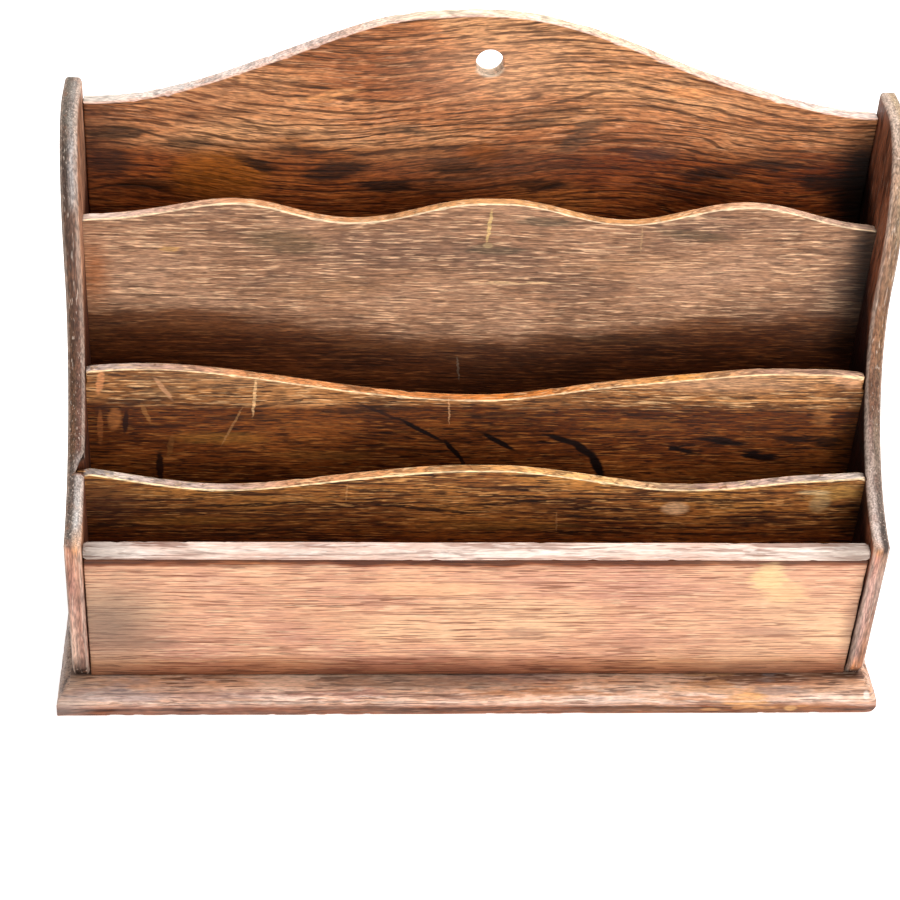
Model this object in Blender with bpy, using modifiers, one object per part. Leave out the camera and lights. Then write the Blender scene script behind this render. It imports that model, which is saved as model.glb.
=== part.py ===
"""Letter rack in stained oak.

Four letter pockets lie between a tall back board, three shaped dividers and a low front
panel. The dividers are housed in two shaped sides, and everything stands on a moulded base.
Units are metres, +Z is up and the front faces -Y. The origin is the middle of the underside.
"""
import math

import bmesh
import bpy
from mathutils import Matrix

# Boards and pockets
INNER_WIDTH = 0.300
POCKET_DEPTH = 0.019
POCKET_COUNT = 4
BACK_THICKNESS = 0.006
SIDE_THICKNESS = 0.0065
DIVIDER_THICKNESS = 0.0045
FRONT_PANEL_THICKNESS = 0.005
BASE_THICKNESS = 0.011

# How far the sides stand proud of the front panel, and the base beyond the sides
SIDE_LEAD = 0.0025
BASE_FRONT_MARGIN = 0.0088
BASE_SIDE_MARGIN = 0.006
BASE_MOULDING = 0.0045

# Heights above the table
BACK_CREST = 0.250
BACK_TROUGH = 0.210
REAR_CREST = 0.1848
REAR_TROUGH = 0.1758
MIDDLE_CREST = 0.1246
MIDDLE_TROUGH = 0.1112
FRONT_CREST = 0.0948
FRONT_TROUGH = 0.0845
SIDE_TOP = 0.219
SIDE_CORNER = 0.079
RAIL_TOP = 0.0756

# Half a wave of each shaped top, as a share of half the inner width
BACK_WAVE_SHARE = 1.0
REAR_WAVE_SHARE = 0.333
MIDDLE_WAVE_SHARE = 0.80
FRONT_WAVE_SHARE = 0.62

# Front edge of the sides. Each knot is (depth share, rise share), with its two handles. Depth
# runs forward from the rear edge, and the rise from the front corner's height to the top
SIDE_BROW_SHARES = ((0.136, 1.0), (0.040, 1.0), (0.320, 0.992))
SIDE_WAIST_SHARES = ((0.422, 0.564), (0.419, 0.793), (0.427, 0.321))
SIDE_CORNER_SHARES = ((1.0, 0.0), (0.718, 0.050), (1.0, -0.2))

# Worn relief under the front foot of each side
FOOT_RELIEF_DEPTH = 0.003
FOOT_RELIEF_HEIGHT = 0.006

# Capping rail of the front panel
RAIL_HEIGHT = 0.0046
RAIL_OVERHANG = 0.001
RAIL_NOSE_RADIUS = 0.0018

# Hole by which the rack hangs on a wall
HANG_HOLE_RADIUS = 0.0053
HANG_HOLE_BELOW_CREST = 0.0192

# Joinery
JOINT_GAP = 0.0003
HOUSING_DEPTH = 0.0035
HOUSING_BREAKOUT = 0.008
ARRIS_RADIUS = 0.0007
EDGE_RADIUS = 0.0012
CUT_OVERRUN = 0.002

# Countersunk screws that come up through the base
SCREW_LENGTH = 0.025
SCREW_SHANK_RADIUS = 0.0012
SCREW_HEAD_RADIUS = 0.0025
SCREW_HEAD_HEIGHT = 0.0015
SCREW_TIP_HEIGHT = 0.003
SCREW_SLOT_WIDTH = 0.0007
SCREW_SLOT_DEPTH = 0.0006
SCREW_SLOT_TURN = 40.0
SIDE_SCREW_SHARES = (0.20, 0.80)
PANEL_SCREW_SHARES = (0.22, 0.78)

# Panel pins that come in through the sides, and up through the base into the back panel
PIN_LENGTH = 0.018
PIN_SHANK_RADIUS = 0.0005
PIN_HEAD_RADIUS = 0.0009
PIN_HEAD_HEIGHT = 0.0006
PIN_TIP_HEIGHT = 0.0012
BACK_PIN_SHARES = (0.15, 0.50, 0.85)
FRONT_PIN_SHARES = (0.25, 0.75)
BASE_PIN_SHARES = (0.20, 0.50, 0.80)

# Smoothness
WAVE_STEPS = 56
CURVE_STEPS = 10
TURNED_STEPS = 16
HOLE_STEPS = 32
ARRIS_STEPS = 2
NOSE_STEPS = 4
MOULDING_STEPS = 5
MERGE_DISTANCE = 0.00001
FLAT_ANGLE = math.radians(0.5)
ARRIS_ANGLE = math.radians(50)

# Places that follow from the sizes above
HALF_WIDTH = INNER_WIDTH / 2
DIVIDER_COUNT = POCKET_COUNT - 1
SIDE_DEPTH = (BACK_THICKNESS + POCKET_COUNT * POCKET_DEPTH + DIVIDER_COUNT * DIVIDER_THICKNESS
              + FRONT_PANEL_THICKNESS + SIDE_LEAD)
OVERALL_DEPTH = SIDE_DEPTH + BASE_FRONT_MARGIN
REAR_Y = OVERALL_DEPTH / 2
BACK_FACE_Y = REAR_Y - BACK_THICKNESS
SIDE_FRONT_Y = REAR_Y - SIDE_DEPTH
PANEL_FACE_Y = SIDE_FRONT_Y + SIDE_LEAD
PANEL_REAR_Y = PANEL_FACE_Y + FRONT_PANEL_THICKNESS
BOARD_FOOT = BASE_THICKNESS + JOINT_GAP
HALF_BASE_WIDTH = HALF_WIDTH + SIDE_THICKNESS + BASE_SIDE_MARGIN

# A standing board lies in the X-Z plane, and a side in the Y-Z plane with its outline running
# forward from the rear edge
STAND_UPRIGHT = Matrix.Rotation(math.radians(90), 4, "X")
STAND_SIDEWAYS = Matrix.Rotation(math.radians(-90), 4, "Z") @ STAND_UPRIGHT


def clear_scene():
    for thing in list(bpy.data.objects):
        bpy.data.objects.remove(thing)


def new_collection(name):
    collection = bpy.data.collections.new(name)
    bpy.context.scene.collection.children.link(collection)
    return collection


def surface(name, colour, roughness, metallic=0.0):
    """Principled material with the piece's own colour, as linear red, green and blue."""
    material = bpy.data.materials.new(name)
    material.use_nodes = True
    shader = material.node_tree.nodes["Principled BSDF"]
    shader.inputs["Base Color"].default_value = (*colour, 1.0)
    shader.inputs["Roughness"].default_value = roughness
    shader.inputs["Metallic"].default_value = metallic
    return material


def add_object(name, mesh, collection, material=None):
    thing = bpy.data.objects.new(name, mesh)
    collection.objects.link(thing)
    if material:
        mesh.materials.append(material)
    return thing


def baked_mesh(thing):
    """Mesh of an object as its modifiers leave it. The object itself is removed."""
    depsgraph = bpy.context.evaluated_depsgraph_get()
    mesh = bpy.data.meshes.new_from_object(thing.evaluated_get(depsgraph))
    bpy.data.objects.remove(thing)
    return mesh


def box_mesh(name, low, high):
    """Box between two corners, made from a unit cube."""
    shape = bmesh.new()
    bmesh.ops.create_cube(shape, size=1.0)
    size = [top - bottom for bottom, top in zip(low, high)]
    centre = [(top + bottom) / 2 for bottom, top in zip(low, high)]
    bmesh.ops.scale(shape, vec=size, verts=shape.verts)
    bmesh.ops.translate(shape, vec=centre, verts=shape.verts)
    mesh = bpy.data.meshes.new(name)
    shape.to_mesh(mesh)
    shape.free()
    return mesh


def board_mesh(name, spline_maker, thickness, placement):
    """Board cut to an outline: a filled 2D curve as thick as the board, turned into a mesh."""
    curve = bpy.data.curves.new(name, "CURVE")
    curve.dimensions = "2D"
    curve.fill_mode = "BOTH"
    curve.extrude = thickness / 2
    curve.resolution_u = CURVE_STEPS
    curve.render_resolution_u = CURVE_STEPS
    spline_maker(curve)
    outline = bpy.data.objects.new(name, curve)
    bpy.context.scene.collection.objects.link(outline)
    mesh = baked_mesh(outline)
    bpy.data.curves.remove(curve)
    shape = bmesh.new()
    shape.from_mesh(mesh)
    bmesh.ops.remove_doubles(shape, verts=shape.verts, dist=MERGE_DISTANCE)
    bmesh.ops.dissolve_limit(shape, angle_limit=FLAT_ANGLE, verts=shape.verts, edges=shape.edges)
    bmesh.ops.recalc_face_normals(shape, faces=shape.faces)
    bmesh.ops.transform(shape, matrix=placement, verts=shape.verts)
    shape.to_mesh(mesh)
    shape.free()
    return mesh


def turned_mesh(name, profile):
    """Mesh turned about Z from (radius, height) points that run from the top to the bottom."""
    mesh = bpy.data.meshes.new(name)
    points = [(radius, 0.0, height) for radius, height in profile]
    edges = [(index, index + 1) for index in range(len(points) - 1)]
    mesh.from_pydata(points, edges, [])
    line = bpy.data.objects.new(name, mesh)
    bpy.context.scene.collection.objects.link(line)
    turn = line.modifiers.new("turn", "SCREW")
    turn.steps = TURNED_STEPS
    turn.render_steps = TURNED_STEPS
    turn.use_merge_vertices = True
    turn.merge_threshold = MERGE_DISTANCE
    return baked_mesh(line)


def add_copies(name, mesh, placements, collection):
    """One object for each placement, all sharing the mesh."""
    for number, placement in enumerate(placements, start=1):
        copy = add_object(f"{name}_{number}", mesh, collection)
        copy.matrix_world = placement


def holes_mesh(name, unit, placements):
    """One cutter mesh with the unit's shape at each placement."""
    shape = bmesh.new()
    for placement in placements:
        copy = unit.copy()
        copy.transform(placement)
        shape.from_mesh(copy)
        bpy.data.meshes.remove(copy)
    mesh = bpy.data.meshes.new(name)
    shape.to_mesh(mesh)
    shape.free()
    return mesh


def round_edges(mesh, radius, steps=ARRIS_STEPS, square_height=None):
    """Round a mesh's sharp edges, but leave square those that lie at the given height."""
    shape = bmesh.new()
    shape.from_mesh(mesh)
    sharp = []
    for edge in shape.edges:
        heights = [vertex.co.z for vertex in edge.verts]
        square = square_height is not None and max(heights) < square_height + MERGE_DISTANCE
        if edge.calc_face_angle() > ARRIS_ANGLE and not square:
            sharp.append(edge)
    bmesh.ops.bevel(shape, geom=sharp, offset=radius, offset_type="OFFSET", segments=steps,
                    profile=0.5, affect="EDGES", clamp_overlap=True)
    shape.to_mesh(mesh)
    shape.free()


def add_cutter(name, mesh, cutters):
    cutter = add_object(name, mesh, cutters)
    cutter.hide_render = True
    cutter.display_type = "WIRE"
    return cutter


def cut(board, cutter):
    boolean = board.modifiers.new(cutter.name, "BOOLEAN")
    boolean.operation = "DIFFERENCE"
    boolean.solver = "EXACT"
    boolean.object = cutter


def wave_height(x, crest, trough, wave_share, starts_high):
    """Height of a shaped top: a cosine that starts from its crest or trough at the middle."""
    middle = (crest + trough) / 2
    swing = (crest - trough) / 2
    if not starts_high:
        swing = -swing
    reach = min(abs(x), HALF_WIDTH)
    return middle + swing * math.cos(math.pi * reach / (wave_share * HALF_WIDTH))


def wave_outline(half_length, wave):
    """Outline of a board with a waved top, from the foot up, as (x, height) points."""
    points = [(-half_length, BOARD_FOOT), (half_length, BOARD_FOOT)]
    for step in range(WAVE_STEPS + 1):
        x = half_length - 2 * half_length * step / WAVE_STEPS
        points.append((x, wave_height(x, *wave)))
    return points


def waved_board(name, wave, half_length, thickness, centre_y, collection, material):
    def poly_spline(curve):
        points = wave_outline(half_length, wave)
        spline = curve.splines.new("POLY")
        spline.points.add(len(points) - 1)
        for point, (x, height) in zip(spline.points, points):
            point.co = (x, height, 0.0, 1.0)
        spline.use_cyclic_u = True

    placement = Matrix.Translation((0.0, centre_y, 0.0)) @ STAND_UPRIGHT
    mesh = board_mesh(name, poly_spline, thickness, placement)
    round_edges(mesh, ARRIS_RADIUS, square_height=BOARD_FOOT)
    return add_object(name, mesh, collection, material)


def side_spline(curve):
    """Outline of a side: straight rear, foot and front, and a curve from corner to brow."""
    rise = SIDE_TOP - SIDE_CORNER

    def place(shares):
        depth_share, rise_share = shares
        return (depth_share * SIDE_DEPTH, SIDE_CORNER + rise_share * rise, 0.0)

    straight = [
        (0.0, SIDE_TOP),
        (0.0, BOARD_FOOT),
        (SIDE_DEPTH - FOOT_RELIEF_DEPTH, BOARD_FOOT),
        (SIDE_DEPTH, BOARD_FOOT + FOOT_RELIEF_HEIGHT),
    ]
    curved = [SIDE_CORNER_SHARES, SIDE_WAIST_SHARES, SIDE_BROW_SHARES]
    spline = curve.splines.new("BEZIER")
    spline.bezier_points.add(len(straight) + len(curved) - 1)
    for knot, (depth, height) in zip(spline.bezier_points, straight):
        knot.co = (depth, height, 0.0)
        knot.handle_left_type = "VECTOR"
        knot.handle_right_type = "VECTOR"
    for knot, shares in zip(spline.bezier_points[len(straight):], curved):
        at, above, below = shares
        knot.co = place(at)
        knot.handle_left_type = "FREE"
        knot.handle_right_type = "FREE"
        knot.handle_left = place(below)
        knot.handle_right = place(above)
    spline.use_cyclic_u = True
    straighten_ends(spline, len(straight))


def straighten_ends(spline, straight_count):
    """Point the handles that face the straight edges along those edges."""
    corner = spline.bezier_points[straight_count]
    corner.handle_left = corner.co.lerp(spline.bezier_points[straight_count - 1].co, 0.3)
    brow = spline.bezier_points[-1]
    brow.handle_right = brow.co.lerp(spline.bezier_points[0].co, 0.3)


def add_side(name, direction, collection, material):
    """A side board. Direction is -1 for the left and 1 for the right."""
    centre_x = direction * (HALF_WIDTH + SIDE_THICKNESS / 2)
    placement = Matrix.Translation((centre_x, REAR_Y, 0.0)) @ STAND_SIDEWAYS
    mesh = board_mesh(name, side_spline, SIDE_THICKNESS, placement)
    round_edges(mesh, EDGE_RADIUS, square_height=BOARD_FOOT)
    return add_object(name, mesh, collection, material)


def add_base(collection, material):
    """Base with a moulded edge at the front and both ends, and a plain rear edge."""
    low = (-HALF_BASE_WIDTH, -REAR_Y, 0.0)
    high = (HALF_BASE_WIDTH, REAR_Y, BASE_THICKNESS)
    mesh = box_mesh("base_board", low, high)
    shape = bmesh.new()
    shape.from_mesh(mesh)
    middle = BASE_THICKNESS / 2
    moulded = []
    for edge in shape.edges:
        at_top = all(vertex.co.z > middle for vertex in edge.verts)
        at_rear = all(vertex.co.y > 0.0 for vertex in edge.verts)
        if at_top and not at_rear:
            moulded.append(edge)
    bmesh.ops.bevel(shape, geom=moulded, offset=BASE_MOULDING, offset_type="OFFSET",
                    segments=MOULDING_STEPS, profile=0.5, affect="EDGES")
    shape.to_mesh(mesh)
    shape.free()
    round_edges(mesh, ARRIS_RADIUS)
    return add_object("base_board", mesh, collection, material)


def add_front_panel(collection, material):
    half_length = HALF_WIDTH - JOINT_GAP
    low = (-half_length, PANEL_FACE_Y, BOARD_FOOT)
    high = (half_length, PANEL_REAR_Y, RAIL_TOP - RAIL_HEIGHT - JOINT_GAP)
    mesh = box_mesh("front_panel", low, high)
    round_edges(mesh, ARRIS_RADIUS, square_height=BOARD_FOOT)
    return add_object("front_panel", mesh, collection, material)


def add_front_rail(collection, material):
    """Half-round capping strip along the top of the front panel."""
    half_length = HALF_WIDTH - JOINT_GAP
    low = (-half_length, PANEL_FACE_Y - RAIL_OVERHANG, RAIL_TOP - RAIL_HEIGHT)
    high = (half_length, PANEL_REAR_Y, RAIL_TOP)
    mesh = box_mesh("front_rail", low, high)
    round_edges(mesh, RAIL_NOSE_RADIUS, NOSE_STEPS)
    return add_object("front_rail", mesh, collection, material)


def divider_centre_y(number):
    """Middle of a divider's thickness. Number 1 is the rear divider."""
    front_face = BACK_FACE_Y - number * (POCKET_DEPTH + DIVIDER_THICKNESS)
    return front_face + DIVIDER_THICKNESS / 2


def cut_housing(side, direction, number, top, cutters):
    """Groove in a side's inner face that takes one end of a divider."""
    inner_x = direction * (HALF_WIDTH - CUT_OVERRUN)
    outer_x = direction * (HALF_WIDTH + HOUSING_DEPTH)
    half_groove = DIVIDER_THICKNESS / 2 + JOINT_GAP
    centre_y = divider_centre_y(number)
    low = (min(inner_x, outer_x), centre_y - half_groove, BOARD_FOOT - CUT_OVERRUN)
    high = (max(inner_x, outer_x), centre_y + half_groove, top)
    name = f"{side.name}_housing_{number}"
    cut(side, add_cutter(name, box_mesh(name, low, high), cutters))


def add_hang_hole(back, cutters):
    shape = bmesh.new()
    bmesh.ops.create_cone(shape, cap_ends=True, segments=HOLE_STEPS, radius1=HANG_HOLE_RADIUS,
                          radius2=HANG_HOLE_RADIUS, depth=BACK_THICKNESS + 2 * CUT_OVERRUN)
    centre = (0.0, REAR_Y - BACK_THICKNESS / 2, BACK_CREST - HANG_HOLE_BELOW_CREST)
    bmesh.ops.transform(shape, matrix=Matrix.Translation(centre) @ STAND_UPRIGHT,
                        verts=shape.verts)
    mesh = bpy.data.meshes.new("hang_hole")
    shape.to_mesh(mesh)
    shape.free()
    cut(back, add_cutter("hang_hole", mesh, cutters))


def screw_profile(clearance, below_head):
    """Countersunk screw pointing up, from its tip to its head, grown by a clearance."""
    shank = SCREW_SHANK_RADIUS + clearance
    head = SCREW_HEAD_RADIUS + clearance
    shoulder = SCREW_HEAD_HEIGHT + clearance
    return [
        (0.0, SCREW_LENGTH + clearance),
        (shank, SCREW_LENGTH - SCREW_TIP_HEIGHT + clearance),
        (shank, shoulder),
        (head, clearance),
        (head, -below_head),
        (0.0, -below_head),
    ]


def screw_mesh(cutters):
    """Slotted countersunk screw."""
    screw = add_object("screw", turned_mesh("screw", screw_profile(0.0, JOINT_GAP)), cutters)
    reach = SCREW_HEAD_RADIUS + CUT_OVERRUN
    low = (-reach, -SCREW_SLOT_WIDTH / 2, -CUT_OVERRUN)
    high = (reach, SCREW_SLOT_WIDTH / 2, SCREW_SLOT_DEPTH - JOINT_GAP)
    slot = add_cutter("screw_slot", box_mesh("screw_slot", low, high), cutters)
    cut(screw, slot)
    mesh = baked_mesh(screw)
    bpy.data.objects.remove(slot)
    return mesh


def screw_placements():
    """Two screws up into each side, and two into the front panel."""
    places = []
    for share in SIDE_SCREW_SHARES:
        for direction in (-1, 1):
            x = direction * (HALF_WIDTH + SIDE_THICKNESS / 2)
            places.append((x, REAR_Y - share * SIDE_DEPTH))
    for share in PANEL_SCREW_SHARES:
        places.append((share * INNER_WIDTH - HALF_WIDTH,
                       PANEL_FACE_Y + FRONT_PANEL_THICKNESS / 2))
    placements = []
    for number, (x, y) in enumerate(places):
        turn = Matrix.Rotation(math.radians(SCREW_SLOT_TURN * number), 4, "Z")
        placements.append(Matrix.Translation((x, y, 2 * JOINT_GAP)) @ turn)
    return placements


def pin_profile(clearance, above_head):
    """Panel pin pointing up, from its tip to its flat head, grown by a clearance."""
    shank = PIN_SHANK_RADIUS + clearance
    head = PIN_HEAD_RADIUS + clearance
    return [
        (0.0, PIN_LENGTH + clearance),
        (shank, PIN_LENGTH - PIN_TIP_HEIGHT + clearance),
        (shank, PIN_HEAD_HEIGHT + clearance),
        (head, PIN_HEAD_HEIGHT + clearance),
        (head, -above_head),
        (0.0, -above_head),
    ]


def pin_placements():
    """Pins from each side into the back panel and the front panel, and up from the base."""
    back_end = wave_height(HALF_WIDTH, BACK_CREST, BACK_TROUGH, BACK_WAVE_SHARE, True)
    panel_top = RAIL_TOP - RAIL_HEIGHT - JOINT_GAP
    places = []
    for share in BACK_PIN_SHARES:
        height = BOARD_FOOT + share * (back_end - BOARD_FOOT)
        places.append((REAR_Y - BACK_THICKNESS / 2, height))
    for share in FRONT_PIN_SHARES:
        height = BOARD_FOOT + share * (panel_top - BOARD_FOOT)
        places.append((PANEL_FACE_Y + FRONT_PANEL_THICKNESS / 2, height))
    outer_x = HALF_WIDTH + SIDE_THICKNESS
    placements = []
    for direction in (-1, 1):
        inwards = Matrix.Rotation(math.radians(-90 * direction), 4, "Y")
        for y, height in places:
            placements.append(Matrix.Translation((direction * outer_x, y, height)) @ inwards)
    for share in BASE_PIN_SHARES:
        x = share * INNER_WIDTH - HALF_WIDTH
        place = (x, REAR_Y - BACK_THICKNESS / 2, 2 * JOINT_GAP)
        placements.append(Matrix.Translation(place))
    return placements


def add_fasteners(collection, cutters, steel):
    """Screws and pins, and the holes' cutters at the same places, a joint gap larger."""
    screw = screw_mesh(cutters)
    screw.materials.append(steel)
    add_copies("base_screw", screw, screw_placements(), collection)
    pin = turned_mesh("panel_pin", pin_profile(0.0, 0.0))
    pin.materials.append(steel)
    add_copies("panel_pin", pin, pin_placements(), collection)
    wide_screw = turned_mesh("wide_screw", screw_profile(JOINT_GAP, CUT_OVERRUN))
    screw_holes = holes_mesh("screw_holes", wide_screw, screw_placements())
    wide_pin = turned_mesh("wide_pin", pin_profile(JOINT_GAP, CUT_OVERRUN))
    pin_holes = holes_mesh("pin_holes", wide_pin, pin_placements())
    return (add_cutter("screw_holes", screw_holes, cutters),
            add_cutter("pin_holes", pin_holes, cutters))


def build():
    clear_scene()
    rack = new_collection("letter_rack")
    cutters = new_collection("letter_rack_cutters")
    steel = surface("steel", (0.20, 0.19, 0.18), 0.45, 1.0)
    screw_holes, pin_holes = add_fasteners(rack, cutters, steel)

    back_wave = (BACK_CREST, BACK_TROUGH, BACK_WAVE_SHARE, True)
    back = waved_board("back_panel", back_wave, HALF_WIDTH - JOINT_GAP, BACK_THICKNESS,
                       REAR_Y - BACK_THICKNESS / 2, rack,
                       surface("back_oak", (0.22, 0.085, 0.032), 0.45))
    add_hang_hole(back, cutters)

    left = add_side("left_side", -1, rack, surface("left_side_oak", (0.13, 0.075, 0.05), 0.45))
    right = add_side("right_side", 1, rack, surface("right_side_oak", (0.15, 0.09, 0.06), 0.45))

    waves = {
        "rear_divider": (REAR_CREST, REAR_TROUGH, REAR_WAVE_SHARE, True),
        "middle_divider": (MIDDLE_CREST, MIDDLE_TROUGH, MIDDLE_WAVE_SHARE, False),
        "front_divider": (FRONT_CREST, FRONT_TROUGH, FRONT_WAVE_SHARE, True),
    }
    divider_oak = surface("divider_oak", (0.17, 0.085, 0.045), 0.45)
    for number, (name, wave) in enumerate(waves.items(), start=1):
        half_length = HALF_WIDTH + HOUSING_DEPTH - JOINT_GAP
        waved_board(name, wave, half_length, DIVIDER_THICKNESS, divider_centre_y(number), rack,
                    divider_oak)
        housing_top = wave_height(HALF_WIDTH, *wave) + JOINT_GAP
        cut_housing(right, 1, number, housing_top, cutters)
        # The left housing of the front divider runs out through the side's front edge
        if number == DIVIDER_COUNT:
            housing_top = housing_top + HOUSING_BREAKOUT
        cut_housing(left, -1, number, housing_top, cutters)

    panel = add_front_panel(rack, surface("front_panel_oak", (0.34, 0.16, 0.085), 0.45))
    add_front_rail(rack, surface("front_rail_oak", (0.42, 0.27, 0.20), 0.35))
    base = add_base(rack, surface("base_oak", (0.30, 0.15, 0.09), 0.45))

    for board in (base, left, right, panel):
        cut(board, screw_holes)
    for board in (base, left, right, back, panel):
        cut(board, pin_holes)


build()
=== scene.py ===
"""Old letter rack in fumed oak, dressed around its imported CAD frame.

Every board of the frame gets a finer board in its place, with a smoother outline, worn and
dented arrises and its own piece of oak. The screws and pins keep their CAD shape. Lengths are
in metres, +Z is up, and the front of the rack faces -Y.
"""

import math
from functools import partial

import bmesh
import bpy
from mathutils import Matrix, Vector, noise


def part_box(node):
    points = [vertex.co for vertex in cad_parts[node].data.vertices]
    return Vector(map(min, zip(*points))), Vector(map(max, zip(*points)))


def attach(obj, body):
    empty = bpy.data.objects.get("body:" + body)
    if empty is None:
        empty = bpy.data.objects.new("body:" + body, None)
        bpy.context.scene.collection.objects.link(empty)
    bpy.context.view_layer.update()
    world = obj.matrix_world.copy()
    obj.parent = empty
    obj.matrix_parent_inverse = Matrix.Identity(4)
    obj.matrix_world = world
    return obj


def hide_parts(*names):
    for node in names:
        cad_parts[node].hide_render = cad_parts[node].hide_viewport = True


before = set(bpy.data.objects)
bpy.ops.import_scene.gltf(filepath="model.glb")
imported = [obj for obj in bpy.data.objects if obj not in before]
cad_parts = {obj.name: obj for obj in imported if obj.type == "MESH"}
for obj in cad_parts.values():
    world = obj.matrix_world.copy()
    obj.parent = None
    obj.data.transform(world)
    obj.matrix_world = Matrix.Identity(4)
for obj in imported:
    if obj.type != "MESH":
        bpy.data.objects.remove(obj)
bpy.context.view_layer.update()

MM = 0.001

# The rack's inner width and the shaped tops: crest, trough, half a wave as a share of half the
# inner width, and whether the middle is high (1) or low (-1)
HALF_WIDTH = 150 * MM
WAVES = {
    "back_panel": (250.0 * MM, 210.0 * MM, 1.0, 1),
    "rear_divider": (184.8 * MM, 175.8 * MM, 0.333, 1),
    "middle_divider": (124.6 * MM, 111.2 * MM, 0.80, -1),
    "front_divider": (94.8 * MM, 84.5 * MM, 0.62, 1),
}

# Front edge of a side, as shares of its depth and of the rise from corner to top: each knot
# with the handle above it and the handle below it
SIDE_TOP = 219 * MM
SIDE_CORNER = 79 * MM
BROW = ((0.136, 1.0), (0.040, 1.0), (0.320, 0.992))
WAIST = ((0.422, 0.564), (0.419, 0.793), (0.427, 0.321))
CORNER = ((1.0, 0.0), (0.718, 0.050), (1.0, -0.2))
FOOT_HOLLOW = (3 * MM, 6 * MM)

# Joinery
JOINT_GAP = 0.3 * MM
HOUSING_DEPTH = 3.5 * MM
HOUSING_BREAKOUT = 6.5 * MM
CUT_OVERRUN = 2 * MM
# The middle divider's ends step down to tongues that stop short of the sides' front edge
TONGUE_TOPS = {"middle_divider": 117 * MM}
TONGUE_FILLET = 1.5 * MM
# How much higher a hand-sawn top runs than its drawn wave, in mm, at places along the board
SAWN = {
    "back_panel": ((-150, 1.7), (-45, 2.4), (-5, 0.1), (70, -1.0), (120, 1.3), (150, 0.9)),
    "rear_divider": ((-150, 0.0), (-113, -2.5), (-78, 0.0), (-5, 0.0), (28, 2.0), (72, 0.0),
                     (150, 0.0)),
    "middle_divider": ((-150, 0.5), (-75, -1.4), (0, 0.0), (42, 1.8), (90, 0.0), (150, 0.7)),
    "front_divider": ((-150, 1.2), (-105, 0.5), (-66, 1.6), (-12, 0.3), (60, 0.2), (120, 3.4),
                      (150, 1.0)),
}
# How far the tops have worn down all along, and at their ends over the end length
TOP_WEAR = 0.12 * MM
END_WEAR = {"back_panel": 0.0, "rear_divider": 0.6 * MM, "middle_divider": 0.4 * MM,
            "front_divider": 0.9 * MM}
END_LENGTH = 3 * MM
HANG_HOLE_RADIUS = 5.15 * MM
HANG_HOLE_BELOW_CREST = 19.2 * MM
HOLE_RIM = 0.4 * MM

# Radii of the arrises: a usual one, and the most that wear makes of it
BACK_ARRIS = 0.8 * MM
DIVIDER_ARRIS = 0.6 * MM
MOST_WORN = 2.0 * MM
INNER_SIDE_ARRIS = (1.9 * MM, 2.8 * MM)
OUTER_SIDE_ARRIS = (1.3 * MM, 2.4 * MM)

# Fineness of the meshes
ARC_STEPS = 4
FILLET_STEPS = 6
MOULDING_STEPS = 6
CURVE_STEPS = 44
HOLE_STEPS = 72
BASE_STEPS = (260, 90, 60, 90)
WAVE_STEP = 1.25 * MM
EDGE_STEP = 2.5 * MM
CLOSEST = 0.08 * MM
FACE_MARGIN = 0.9 * MM
KNEE_LIMIT = 4 * MM
# Corners that turn by more than this many degrees are sharp, and get a mitre line
SHARP_TURN = 25.0
SHARP_ANGLE = math.radians(40)
MERGE = 0.002 * MM

# Reach of the tints, in mm
TINT_ACROSS = (-165, 165)
TINT_UP = (0, 250)


def wave_top(x, crest, trough, share, start):
    """Height of a shaped top at a place along the board."""
    reach = min(abs(x), HALF_WIDTH)
    swing = start * (crest - trough) / 2
    return (crest + trough) / 2 + swing * math.cos(math.pi * reach / (share * HALF_WIDTH))


def sawn_top(x, node):
    """Height of a board's top as it was sawn, at a place along it."""
    stops = [(place * MM, lift * MM) for place, lift in SAWN[node]]
    place = min(max(x, stops[0][0]), stops[-1][0])
    for (x0, lift0), (x1, lift1) in zip(stops, stops[1:]):
        if x0 <= place <= x1:
            share = (place - x0) / (x1 - x0)
            lift = lift0 + (lift1 - lift0) * share * share * (3 - 2 * share)
    return min(wave_top(x, *WAVES[node]) + lift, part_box(node)[1].z)


def waver(place, seed):
    """Smooth random number from about -1 to 1 that depends on the place alone."""
    return noise.noise(Vector((place, seed * 3.7, seed * 1.3)))


def worn(place, radius, seed, dents=1.0):
    """Arris radius at a distance along an edge: slow change, and short dents here and there."""
    slow = waver(place / (45 * MM), seed)
    short = max(0.0, waver(place / (5 * MM), seed + 20) - 0.25)
    return radius * (1.0 + 0.5 * slow + 3.0 * dents * short)


def counter_clockwise(outline):
    """The closed outline in counter-clockwise order, so that its inside is on the left."""
    area = 0.0
    for (u0, v0), (u1, v1) in zip(outline, outline[1:] + outline[:1]):
        area += u0 * v1 - u1 * v0
    return outline if area > 0 else outline[::-1]


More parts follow.
